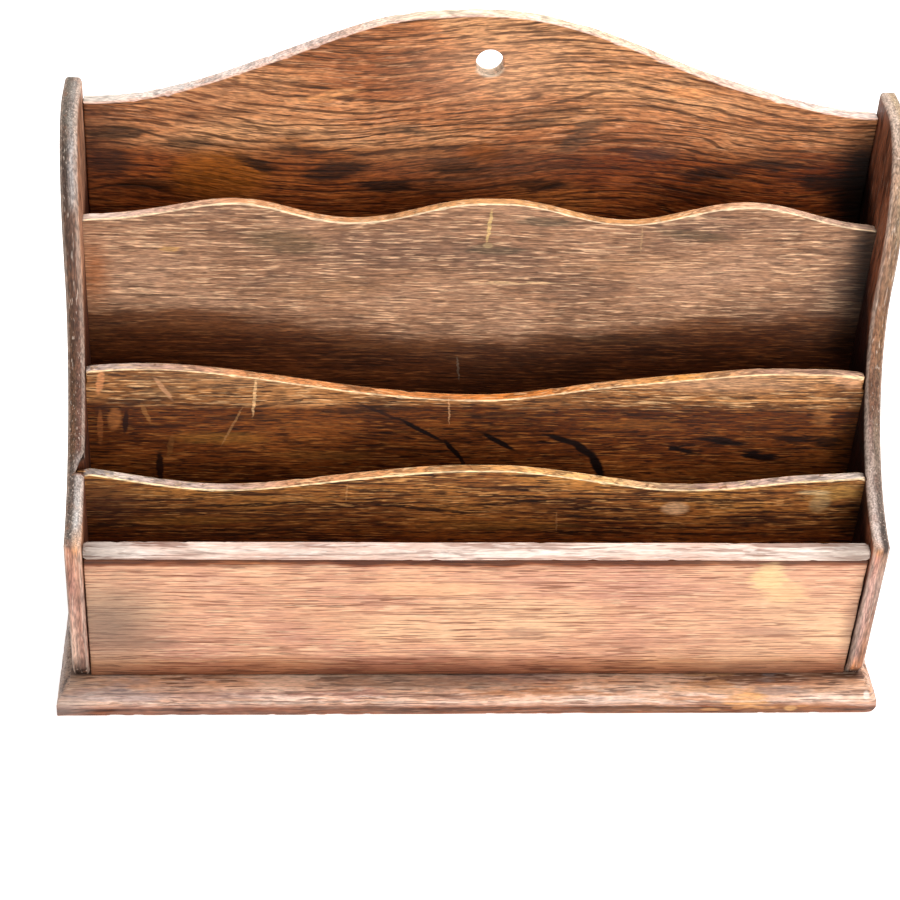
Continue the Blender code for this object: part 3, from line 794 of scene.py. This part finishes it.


# Back: long bowed grain with fine dark rings, red-brown above and blotched dark where it was
# covered by letters, with painted shade low down behind the rear divider and at the right end
back = waved_board("back_board", "back_panel", BACK_ARRIS, 3, joint=JOINT_GAP)
cut_hang_hole(back)
dress(back, "back_panel", stained_oak(
    "back_board_oak", ("985832", "bc784a", "d09464", "46260f"), seed=2.0, arc=(4, 190, -10.5),
    pocket_side=("Y", 55.4),
    growth=(0.85, 3.4, 2.4), streaks=((60, 8, 1.5), 0.52, 0.62, 0.6), wander_mm=4.0, pores=0.7,
    flecks=(0.45, 0.57, 0.66), fleck_tone="eaaa7c", grit=(0.66, 1.34), nicked=0.2,
    edge=((-150, "d4ccc0"), (-110, "e0d4cc"), (-60, "e2cabe"), (-30, "ecd8c0"), (0, "f4e2c6"),
          (40, "ecd2b6"), (60, "e8c6ac"), (110, "e6cabc"), (150, "d8ccc4")), arris="efc4b0",
    # Depths: darker low on the board, painted shade behind the rear divider's top
    depths=((174, "fcd29a"), (184, "dcb07c"), (193, "c0986e"), (198, "d0beaa"), (203, "ffffff")),
    # The first shade is painted shade at the right end, where the right side keeps the light off
    shades=((156, 180, 26, 44, 0, "0c0604", 1.0), (-150, 210, 22, 28, 0, "44261a", 0.5),
            (-148, 188, 24, 40, 0, "4c2a1a", 0.5),
            (100, 226, 40, 18, 20, "904a20", 0.5), (0, 228, 50, 24, 0, "d8a07c", 0.35),
            (-105, 214, 42, 16, -14, "94522e", 0.45), (-5, 186, 60, 16, 0, "a4785c", 0.25)),
    # The first stain is painted shade too, at the right end beside the right side
    stains_and_shade=((152, 176, 20, 34, -8, "100805", 0.9),
            (-101, 181, 24, 15, 0, "b8681a", 0.5), (-137, 199, 16, 4, -4, "32200f", 0.7),
            (-141, 186, 12, 6, 0, "2a1610", 0.7), (-128, 177, 17, 4, 0, "261608", 0.7),
            (-112, 195.4, 12, 3, 0, "341f0e", 0.7), (-86, 187, 12, 3, 20, "180e06", 0.8),
            (-56, 184, 17, 6, -12, "1a100a", 0.8), (-36, 178, 15, 4, 0, "1a100a", 0.8),
            (-70, 193, 14, 3, 8, "241408", 0.7), (-10, 186, 16, 3, 0, "1e1209", 0.7),
            (22, 180, 16, 3, 0, "1e1209", 0.7), (110, 190, 16, 3, 0, "201008", 0.7),
            (132, 182, 12, 4, 0, "180c06", 0.8), (-30, 202, 14, 2.2, 4, "4a3626", 0.6),
            (36, 201, 5, 14, 42, "4c3626", 0.6), (64, 193.6, 12, 3.5, 0, "3c2420", 0.6),
            (18, 206.7, 13, 2.5, -3, "503622", 0.6), (54, 181.6, 8, 4, 0, "a8582a", 0.6),
            (90, 186, 16, 4, -6, "24120a", 0.7), (0, 193, 10, 6, 0, "904c18", 0.5),
            (77, 220, 14, 3, 0, "e89456", 0.5), (-60, 216, 16, 2, -14, "e09a60", 0.5),
            (-100, 208, 20, 2, -6, "4a260f", 0.5), (120, 206, 16, 2, 8, "4a260f", 0.5)),
    scratches=((0, 228.5, 6.0, 4.2, 0, "e4d4bc", 0.95),)))

# Rear divider: dry grey-brown, with painted shade below the middle divider's top
rear = waved_board("rear_divider_board", "rear_divider", DIVIDER_ARRIS, 11)
dress(rear, "rear_divider", stained_oak(
    "rear_divider_oak", ("84604a", "9e7254", "b28668", "503424"), seed=5.0, pores=0.5,
    streaks=((44, 6, 1.2), 0.51, 0.62, 0.5), wander_mm=2.0, flecks=(0.75, 0.55, 0.64),
    fleck_tone="e6b890", grit=(0.7, 1.28), behind="middle_divider",
    edge=((-150, "ead6c8"), (-130, "dcb8a6"), (-90, "dc9c6c"), (0, "e0a468"), (70, "e2a064"),
          (105, "d2a284"), (150, "b89886")), arris="f6d6ae",
    # Depths: painted shade below a line that follows the middle divider's top
    depths=((98, "dca878"), (108, "b88458"), (122, "8c6644"), (130, "ae9278"), (138, "ffffff")),
    # The first and last shades are painted shade at the right end, beside the right side
    shades=((153, 148, 27, 62, 0, "140a06", 1.0), (-147, 152, 9, 22, 0, "a45c2a", 0.65),
            (148, 168, 9, 22, 0, "1e120c", 0.8)),
    stains_and_shade=((-118.5, 163.5, 4, 1.6, 0, "d09c5c", 0.6), (-75, 167, 20, 7, 8, "5a4a30", 0.45),
            (24, 177, 15, 2.6, 0, "4a4030", 0.65), (4, 164.5, 15, 2.6, 0, "4c4232", 0.6),
            (14, 149.8, 24, 0.7, 0, "e8bc8c", 0.7), (-60, 146, 30, 6, 0, "bc8a60", 0.2),
            (60, 158, 30, 6, 0, "c08c62", 0.2), (-110, 128, 30, 4, 0, "7a4420", 0.4),
            (80, 172, 20, 3, 6, "54442e", 0.5), (-30, 120, 34, 4, 0, "6a3c1a", 0.4),
            (50, 124, 34, 3, 0, "34200f", 0.5)),
    scratches=((1.6, 175, 0.9, 9, 4, "dcb878", 0.7), (1.6, 166.5, 2.4, 1.6, 0, "c8a878", 0.5),
               (-6.7, 109.7, 0.6, 7, -6, "8c7460", 0.6), (60, 170, 0.5, 7, -3, "c8a070", 0.35))))

# Middle divider: golden brown under its edge, with dark curved marks and pale scratches below
middle = waved_board("middle_divider_board", "middle_divider", DIVIDER_ARRIS, 13, right_wear=3.0)
dress(middle, "middle_divider", stained_oak(
    "middle_divider_oak", ("7a4a24", "a06838", "c28854", "341808"), seed=8.0,
    streaks=((30, 6, 1.1), 0.52, 0.61, 0.7), wander_mm=2.5, flecks=(0.7, 0.56, 0.64),
    fleck_tone="ecba84", grit=(0.62, 1.38), nicked=0.7,
    edge=((-150, "d2beb4"), (-120, "c8a494"), (-90, "dc9460"), (-20, "e08a48"), (20, "e8893a"),
          (50, "dc9c64"), (80, "e8a050"), (110, "cc9c80"), (150, "c49c88")), arris="f8d0a0",
    depths=((70, "f8cc98"), (84, "d4a878"), (98, "b08a5c"), (108, "a48050"), (111.5, "ffffff")),
    wobble_mm=3,
    # The first shade is painted shade at the right end, beside the right side
    shades=((154, 88, 16, 34, 0, "1c100a", 0.8), (96, 120, 52, 7, 0, "d2a078", 0.65),
            (-100, 120, 50, 6, 0, "b48860", 0.3)),
    stains_and_shade=((98, 91.7, 15, 2.6, 10, "1c0804", 1.0), (113, 85.3, 12, 2.6, 12, "1c0804", 1.0),
            (82.7, 87.6, 9, 2.0, 18, "1c0804", 1.0), (127, 93.3, 11, 2.4, 0, "1c0804", 0.9),
            (140, 92, 8, 4, 0, "180a05", 0.8), (-122, 114, 14, 3, -10, "94704c", 0.4),
            (136, 104, 5, 6, 0, "b0703c", 0.5), (-40, 106, 24, 2.5, -4, "2c1404", 0.6),
            (142, 122, 9, 4, 20, "e0a67c", 0.6), (-100, 92, 24, 4, 0, "a8702c", 0.4),
            (60, 100, 26, 3, 0, "925622", 0.45), (-60, 84, 26, 3, 0, "94602a", 0.4),
            (-88, 102, 20, 2.4, 0, "2c1606", 0.5), (10, 104, 22, 2, 0, "341a08", 0.5),
            (-20, 74, 26, 3, 0, "a06a2e", 0.4), (120, 76, 20, 3, 0, "8c5426", 0.4)),
    scratches=((-144.5, 118.5, 1.8, 7, 10, "d08a58", 0.8), (-140, 101, 3.2, 6.5, 8, "b06c38", 0.6),
               (-145.5, 97, 1.4, 10, 2, "a05c2e", 0.6),
               (-121, 115.5, 1.3, 8, -32, "c49068", 0.6),
               (-128, 104, 1.2, 6, -20, "a8703c", 0.5), (-119, 88, 1.5, 7, 10, "9c6230", 0.5),
               (-135.8, 99.5, 1.4, 7, 6, "2a0f06", 0.95),
               (-123.3, 78, 1.8, 9.5, 0, "2a0f06", 0.95),
               (-86.4, 112, 0.8, 11, 4, "e8b882", 0.85), (-95, 98, 0.6, 13, 24, "b08050", 0.5),
               (-38, 105, 12, 0.9, 26, "280e06", 0.85),
               (-22, 96.5, 14, 1.2, 32, "1a0703", 1.0), (-9, 87, 8, 1.4, 52, "1a0703", 1.0),
               (-5, 81, 4, 1.1, 70, "1a0703", 0.9),
               (8.6, 91.2, 11, 1.5, 32, "1a0703", 1.0), (34, 92.2, 9, 1.8, 20, "1a0703", 1.0),
               (42, 88, 8, 2.3, 42, "1a0703", 1.0), (48.5, 80, 10, 2.5, 66, "1a0703", 1.0),
               (21, 76.5, 3.5, 1.6, 0, "2c1208", 0.8),
               (-11.5, 106, 0.45, 8, -3, "d8a070", 0.6), (110, 112, 54, 0.6, 0, "dc9c60", 0.7))))

# Front divider: brown with strong dark grain, and rubbed pale near its right end
front = waved_board("front_divider_board", "front_divider", DIVIDER_ARRIS, 17)
dress(front, "front_divider", stained_oak(
    "front_divider_oak", ("78441e", "9a5e2c", "c48440", "2a1005"), seed=12.0,
    streaks=((44, 6, 1.2), 0.51, 0.60, 0.85), wander_mm=2.0, flecks=(0.7, 0.56, 0.64),
    fleck_tone="dca060", grit=(0.62, 1.38), nicked=0.7,
    edge=((-150, "cfc2ba"), (-95, "c4aaa0"), (-70, "d89a70"), (0, "e8a460"), (50, "ecb878"),
          (90, "d8b0a0"), (150, "cfc0b4")), arris="f6d6a4",
    depths=((60, "c49c74"), (72, "ecd8bc"), (84, "ffffff")),
    # The first shade is painted shade at the right end, beside the right side
    shades=((154, 74, 14, 24, 0, "140b07", 0.9), (-143, 80, 24, 18, 0, "4a2618", 0.75),
            (-96, 74, 56, 20, 0, "5c3418", 0.3)),
    stains_and_shade=((139, 85, 14, 5, -6, "bc8c48", 0.6),
            (-83, 78.2, 30, 0.9, -3, "200c04", 0.9), (-23, 76.5, 28, 1.0, 6, "200c04", 0.9),
            (20, 80, 32, 0.9, -4, "200c04", 0.8), (-40, 85, 26, 0.8, 2, "240f05", 0.8),
            (50, 72, 30, 0.9, 3, "240f05", 0.8), (-110, 70, 30, 3, 0, "a06828", 0.4),
            (10, 68, 40, 3, 0, "a46c2c", 0.4), (110, 70, 24, 2, 0, "34160a", 0.6)),
    scratches=((77, 76.8, 6.6, 4.0, 0, "dcac80", 0.8), (-51, 84, 0.5, 5, 3, "c89460", 0.45),
               (134, 80, 5, 6, 24, "bc9c6c", 0.5), (131, 85, 8, 1.6, 0, "e0c090", 0.5),
               (118, 80, 2, 1.6, 0, "c88c50", 0.5), (31, 70, 0.5, 6, -4, "b88454", 0.4))))

# Each side: colour of its front edge up its height, on the inner half and on the outer half, its
# oak's tones, and the painted shade low in the pockets. The edge's colours are wear, with
# painted shade at the foot, painted sheen on the inner half and painted shade on the outer half
SIDE_WEAR_SHEEN_AND_SHADE = {
    "left_side": (
        ((16, "2c1e18"), (18.5, "6c5044"), (24, "b08270"), (60, "b88874"), (74, "bc8a70"),
         (77, "e8a878"), (80, "c4a48c"), (82, "c8c0ba"), (95, "bcaea6"), (99, "6e4e42"),
         (165, "705244"), (184, "785c4e"), (189, "a89c96"), (206, "aea6a2"), (214, "90867e")),
        ((16, "2c1e18"), (18.5, "6c5448"), (24, "cca894"), (60, "b48070"), (77, "c88c70"),
         (80, "685c54"), (95, "5c4e46"), (99, "58402f"), (165, "52382a"), (190, "4a3a32"),
         (206, "50443c"), (214, "6c6258")),
        ("90644c", "a47458", "b8886c", "44261a"), "a08070"),
    "right_side": (
        ((13, "3e2a22"), (17, "d48c5c"), (24, "c09688"), (60, "c09688"), (74, "c48c78"),
         (77, "e8a878"), (80, "c8b4aa"), (95, "ac968a"), (108, "947264"), (112, "7c5a48"),
         (140, "94684c"), (160, "946e54"), (200, "b8967c"), (214, "bca492")),
        ((13, "3e2a22"), (17, "a06a4a"), (60, "b09082"), (74, "a07c66"), (77, "40302a"),
         (82, "4c423c"), (88, "7a6a60"), (108, "7e6856"), (112, "785a48"), (140, "8a6446"),
         (160, "8a6a50"), (214, "ac9478")),
        ("5e301e", "7a442c", "905a40", "240f08"), "5c4030"),
}
for direction, name in ((-1, "left_side"), (1, "right_side")):
    side = side_board(name + "_board", name, 21 + 4 * direction)
    cut_housings(side, direction)
    inner, outer, tones, dark = SIDE_WEAR_SHEEN_AND_SHADE[name]
    dress(side, name, stained_oak(
        name + "_oak", tones, along="Z", pocket_side=("X", 153), seed=15.0 + direction,
        streaks=((40, 6, 1.4), 0.48, 0.60, 0.5), wander_mm=3.0,
        scratches=((152 * direction, 99, 2.6, 5.5, 0, "150c0a", 0.95),), grit=(0.62, 1.36),
        edge=inner, outer_edge=outer, edge_share=1.0, arris="d8c4b4", arris_share=0.3,
        # Depths: painted shade low on the inner faces in the pockets, reaching higher towards the
        # rear
        depths=((110, dark), (122, dark), (134, "ffffff")), lean=1.37))

# Front panel: bleached orange-pink, with fine straight grain
dress(front_panel_board(), "front_panel", stained_oak(
    "front_panel_oak", ("c89078", "dca482", "e8b890", "7c4a34"), seed=19.0,
    streaks=((110, 6, 0.7), 0.55, 0.63, 0.5), wander_mm=1.2, pores=0.8, pore_mm=(15, 1.2, 0.5),
    flecks=(0.35, 0.57, 0.66), fleck_tone="fcdcb4", grit=(0.9, 1.08),
    wobble_mm=2.5,
    # Depths: painted shade along the foot above the base, and a painted shadow under the rail
    depths=((11.3, "785a4c"), (14.5, "a48674"), (19, "d0bcaa"), (24, "ffffff"),
            (68.4, "ffffff"), (69.5, "b48e72"), (70.7, "6a4e3c")),
    # The first and last shades are painted shade at the ends beside the sides
    shades=((-142, 38, 36, 36, 0, "7c6254", 0.85), (110, 40, 60, 50, 0, "c4987a", 0.3),
            (152, 40, 10, 46, 0, "5e4438", 0.7)),
    stains_and_shade=((112, 62, 9, 9, -10, "f2ce94", 0.6), (119, 54, 12, 7, 0, "eec08c", 0.5),
            (20, 33.4, 12, 4, 0, "9c705c", 0.5), (-60, 40, 30, 6, 0, "bc8668", 0.35),
            (60, 28, 40, 4, 0, "ac7860", 0.4), (-20, 56, 40, 5, 0, "eeb688", 0.4),
            (-128, 28, 20, 3, 0, "7c5a4a", 0.5), (116, 34, 20, 3, 0, "987060", 0.4))))

# Rail: rubbed almost white by hands, with painted sheen on top, grey towards its ends, and
# painted shade under its nose
dress(rail_strip(), "front_rail", stained_oak(
    "front_rail_oak", ("c09484", "e0bcaa", "f6e2d6", "7c5040"), seed=23.0, pores=0.7,
    streaks=((50, 5, 1.4), 0.53, 0.60, 0.75), wander_mm=1.5, flecks=(0.5, 0.54, 0.62),
    pore_mm=(14, 1.4, 0.9), fleck_tone="fff4ec", grit=(0.88, 1.12),
    edge=((-150, "70625a"), (-138, "8c7a70"), (-124, "baa296"), (-100, "e0c8ba"),
          (-40, "e6cec0"), (60, "e0c4b4"), (112, "d0b2a0"), (134, "a08c80"), (150, "a89a90")),
    arris="f8e6d6", edge_share=0.35, arris_share=0.2, wobble_mm=1.0,
    # Depths: painted shade under the rail's lower rounding
    depths=((71.0, "94685a"), (72.0, "d8b8a8"), (73.0, "ffffff")),
    shades=((-152, 73, 28, 30, 0, "5a4c44", 0.75), (148, 73, 30, 30, 0, "5a4c42", 0.75)),
    stains_and_shade=((-84, 73.5, 18, 1.2, 0, "c08c78", 0.5), (30, 72.5, 24, 0.8, 0, "c4927c", 0.5),
            (92, 74, 20, 1.2, 0, "b88a78", 0.5), (-20, 75.4, 18, 0.9, 0, "b89080", 0.4))))

# Base: pale pink-brown with orange and grey strokes, and dark along its foot
dress(base_slab(), "base_board", stained_oak(
    "base_oak", ("b08c88", "e8b698", "fadac8", "543428"), seed=27.0, pores=0.7,
    streaks=((110, 8, 1.5), 0.51, 0.60, 0.75), wander_mm=2.5, pore_mm=(14, 1.2, 0.6),
    flecks=(0.6, 0.54, 0.63), fleck_tone="f8dccc", grit=(0.8, 1.18), wobble_mm=1.4,
    worn_least=0.0,
    edge=((-160, "a88c82"), (-130, "c0a094"), (-60, "cc9e88"), (40, "c8967a"), (100, "d49c6a"),
          (160, "b89480")), arris="f4d8c4", edge_share=0.2, arris_share=0.45,
    depths=((0.3, "947060"), (1.0, "80502e"), (5.0, "885630"), (6.0, "dcd0cc"),
            (7.4, "ffffff"), (9.8, "ffffff"), (10.8, "e4dacc")),
    shades=((-160, 6, 16, 14, 0, "8a7e78", 0.6),),
    stains_and_shade=((109, 7, 12, 4, 0, "e6a460", 0.75), (-50, 4, 30, 2, 0, "442414", 0.6),
            (60, 3, 30, 2, 0, "442414", 0.6), (-100, 9, 24, 2, 0, "8c6860", 0.5),
            (-10, 8.5, 30, 1, 0, "5c3424", 0.5), (130, 4, 20, 2, 0, "a06030", 0.5),
            (30, 9.6, 46, 1.2, 0, "bc7c50", 0.6), (84, 8, 36, 1.1, 2, "c4845a", 0.6),
            (-56, 9.4, 44, 1.0, 0, "b07c6c", 0.5), (-138, 9, 26, 2.6, 0, "8c8488", 0.5),
            (122, 9.8, 16, 1.3, 0, "8c7c78", 0.6), (56, 7, 16, 1.0, 0, "7c6c6c", 0.5),
            (-20, 11, 60, 1.2, 0, "7c6a5e", 0.5), (94, 10.4, 20, 1.0, 0, "d8a070", 0.5)),
    scratches=((157.5, 8.5, 1.6, 1.6, 0, "f4e6da", 0.7), (95, 2.6, 5, 1.0, 0, "d09458", 0.6),
               (106, 3.6, 3, 1.6, 0, "b87840", 0.6), (117, 3.4, 6, 1.0, 0, "d89a60", 0.55),
               (127, 3.2, 3.4, 1.8, 0, "e0ac6c", 0.6), (132, 4.4, 3, 1.0, 0, "c88850", 0.5))))

steel = dull_steel()
for name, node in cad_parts.items():
    if name.startswith(("base_screw", "panel_pin")):
        node.data.materials.clear()
        node.data.materials.append(steel)


def add_floor():
    """Pale matt table top under the rack."""
    reach = 60.0
    mesh = bpy.data.meshes.new("floor")
    corners = [(-reach, -reach, 0), (reach, -reach, 0), (reach, reach, 0), (-reach, reach, 0)]
    mesh.from_pydata(corners, [], [(0, 1, 2, 3)])
    floor = add_object("floor", mesh)
    material, tree, shader = start_finish("matt_white_card")
    join_up(tree, shader, {"Base Color": linear("f7f5f3"), "Roughness": 0.9,
                           "Emission Color": (1.0, 1.0, 1.0, 1.0), "Emission Strength": 0.7})
    mesh.materials.append(material)


def add_softbox(name, place, size, power):
    """Soft light that faces the rack."""
    light = bpy.data.lights.new(name, "AREA")
    light.shape = "SQUARE"
    light.size = size
    light.energy = power
    softbox = add_object(name, light)
    softbox.location = place
    aim = Vector((0.0, 0.0, 0.1)) - Vector(place)
    softbox.rotation_mode = "QUATERNION"
    softbox.rotation_quaternion = aim.to_track_quat("-Z", "Y")


def add_studio():
    """Even white surroundings, a large light overhead and a weak one at the front right."""
    world = bpy.data.worlds.new("studio")
    world.use_nodes = True
    background = world.node_tree.nodes["Background"]
    background.inputs["Color"].default_value = (1.0, 1.0, 1.0, 1.0)
    background.inputs["Strength"].default_value = 0.35
    bpy.context.scene.world = world
    add_softbox("key_softbox", (0.35, 0.30, 1.45), 1.2, 30.0)
    add_softbox("front_softbox", (0.75, -1.00, 0.42), 0.7, 7.0)
    bpy.context.scene.view_settings.view_transform = "Standard"


def add_camera():
    """Camera at the photograph's place: above the rack and a little to its left."""
    yaw, pitch, roll = (math.radians(angle) for angle in (5.65, 37.15, 3.75))
    ahead = Vector((math.sin(yaw) * math.cos(pitch), math.cos(yaw) * math.cos(pitch),
                    -math.sin(pitch)))
    right = Vector((math.cos(yaw), -math.sin(yaw), 0.0))
    up = right.cross(ahead)
    turned_right = math.cos(roll) * right + math.sin(roll) * up
    turned_up = math.cos(roll) * up - math.sin(roll) * right
    lens = bpy.data.cameras.new("camera")
    lens.sensor_width = 36.0
    lens.lens = 84.3
    camera = add_object("camera", lens)
    turn = Matrix((turned_right, turned_up, -ahead)).transposed().to_4x4()
    camera.matrix_world = Matrix.Translation((-0.0750, -0.6530, 0.5863)) @ turn
    bpy.context.scene.camera = camera


add_floor()
add_studio()
add_camera()
